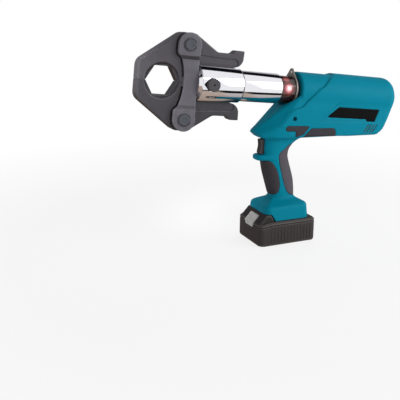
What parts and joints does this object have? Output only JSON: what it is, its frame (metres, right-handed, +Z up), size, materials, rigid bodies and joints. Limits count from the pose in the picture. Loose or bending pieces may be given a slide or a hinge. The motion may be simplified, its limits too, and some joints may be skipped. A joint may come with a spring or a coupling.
{
  "type": "pipe press tool",
  "caption": "Cordless hydraulic pipe press tool: pistol-grip housing with a slide-on battery, a swivelling chromed press head and a scissor jaw set driven by a roller ram.",
  "frame": {"origin": "middle of the battery's flat bottom face, where the tool stands", "axes": "+Z up, the nose and jaws towards -X, the label sides facing -Y and +Y"},
  "size_m": [0.5006, 0.084, 0.3649],
  "materials": {
    "jaw_steel": "dark phosphated steel",
    "plate_steel": "dark ground steel",
    "dark_steel": "blackened steel",
    "chrome": "polished hard chrome",
    "bronze": "bearing bronze",
    "ram_steel": "ground steel",
    "carriage_steel": "machined steel",
    "collar_red": "dark glossy plastic",
    "hang_steel": "plain sheet steel",
    "shell_teal": "fine moulded texture",
    "pad_rubber": "soft moulded rubber",
    "front_rubber": "soft moulded rubber",
    "back_rubber": "soft moulded rubber",
    "label_black": "smooth film",
    "screw_black": "blackened",
    "trigger_black": "moulded",
    "inner_black": "moulded",
    "pump_steel": "machined",
    "motor_paint": "painted",
    "rotor_iron": "wound core",
    "board_green": "lacquered",
    "battery_black": "moulded",
    "battery_top": "moulded",
    "cell_wrap": "shrink wrapped",
    "latch_grey": "speckled moulding"
  },
  "bodies": {
    "tool": {"swivel_bush": "bronze", "neck_collar": "collar_red", "hang_plate": "hang_steel", "housing_left": "shell_teal", "housing_right": "shell_teal", "front_pads": "pad_rubber", "rear_pads": "pad_rubber", "label_plates": "label_black", "housing_screws": "screw_black", "front_grip": "front_rubber", "back_grip": "back_rubber", "switch_block": "inner_black", "pump_block": "pump_steel", "gearbox": "pump_steel", "motor_can": "motor_paint", "oil_bladder": "pad_rubber", "circuit_board": "board_green", "terminal_block": "inner_black"},
    "head": {"press_head": "chrome", "link_plate_near": "plate_steel", "link_plate_far": "plate_steel", "link_tongue": "plate_steel", "pivot_pins": "dark_steel", "pin_rings": "dark_steel", "rod_bush": "bronze", "return_spring": "dark_steel", "cylinder_cap": "pump_steel"},
    "upper_jaw": {"upper_jaw": "jaw_steel"},
    "lower_jaw": {"lower_jaw": "jaw_steel"},
    "ram": {"ram": "ram_steel", "roller_carriage": "carriage_steel", "roller_pins": "dark_steel"},
    "upper_roller": {"upper_roller": "ram_steel"},
    "lower_roller": {"lower_roller": "ram_steel"},
    "retaining_pin": {"retaining_pin": "dark_steel"},
    "trigger": {"trigger": "trigger_black"},
    "pump_plunger": {"pump_plunger": "ram_steel"},
    "eccentric_shaft": {"eccentric_shaft": "carriage_steel"},
    "motor_rotor": {"motor_rotor": "rotor_iron"},
    "battery": {"battery_case": "battery_black", "battery_hump": "battery_top", "battery_cells": "cell_wrap"},
    "latch_button": {"latch_button": "latch_grey"}
  },
  "joints": [
    {"name": "head_swivel", "type": "hinge", "parent": "tool", "child": "head", "pos_m": [0, 0, 0.27], "axis": [0.9962, 0, -0.0872], "range_deg": [-175, 175]},
    {"name": "ram_stroke", "type": "slide", "parent": "head", "child": "ram", "axis": [0.9962, 0, -0.0872], "range_m": [0, 0.042]},
    {"name": "upper_jaw_pivot", "type": "hinge", "parent": "head", "child": "upper_jaw", "pos_m": [-0.17707, 0, 0.34572], "axis": [0, 1, 0], "range_deg": [0, 14]},
    {"name": "lower_jaw_pivot", "type": "hinge", "parent": "head", "child": "lower_jaw", "pos_m": [-0.18753, 0, 0.22618], "axis": [0, -1, 0], "range_deg": [0, 14]},
    {"name": "upper_roller_spin", "type": "hinge", "parent": "ram", "child": "upper_roller", "pos_m": [-0.11067, 0, 0.29012], "axis": [0, 1, 0], "continuous": true},
    {"name": "lower_roller_spin", "type": "hinge", "parent": "ram", "child": "lower_roller", "pos_m": [-0.11248, 0, 0.2694], "axis": [0, 1, 0], "continuous": true},
    {"name": "retaining_pin_pull", "type": "slide", "parent": "head", "child": "retaining_pin", "axis": [0, -1, 0], "range_m": [0, 0.044]},
    {"name": "trigger_pull", "type": "slide", "parent": "tool", "child": "trigger", "axis": [1, 0, 0], "range_m": [0, 0.006], "stiffness_N_per_m": 900, "springref_m": -0.003},
    {"name": "plunger_stroke", "type": "slide", "parent": "tool", "child": "pump_plunger", "axis": [-0.0872, 0, -0.9962], "range_m": [0, 0.004], "stiffness_N_per_m": 600, "springref_m": -0.002},
    {"name": "rotor_spin", "type": "hinge", "parent": "tool", "child": "motor_rotor", "pos_m": [0.17932, 0, 0.25431], "axis": [0.9962, 0, -0.0872], "continuous": true},
    {"name": "eccentric_spin", "type": "hinge", "parent": "tool", "child": "eccentric_shaft", "pos_m": [0.10958, 0, 0.26041], "axis": [0.9962, 0, -0.0872], "continuous": true},
    {"name": "battery_slide", "type": "slide", "parent": "tool", "child": "battery", "axis": [-1, 0, 0], "range_m": [0, 0.09]},
    {"name": "latch_press", "type": "slide", "parent": "battery", "child": "latch_button", "axis": [0.7379, 0, -0.6749], "range_m": [0, 0.003], "stiffness_N_per_m": 900, "springref_m": -0.002}
  ],
  "couplings": [
    {"joint": "upper_jaw_pivot", "follows": "ram_stroke", "rad_per_m": 5.8177},
    {"joint": "lower_jaw_pivot", "follows": "ram_stroke", "rad_per_m": 5.8177},
    {"joint": "eccentric_spin", "follows": "rotor_spin", "ratio": 0.083333}
  ]
}
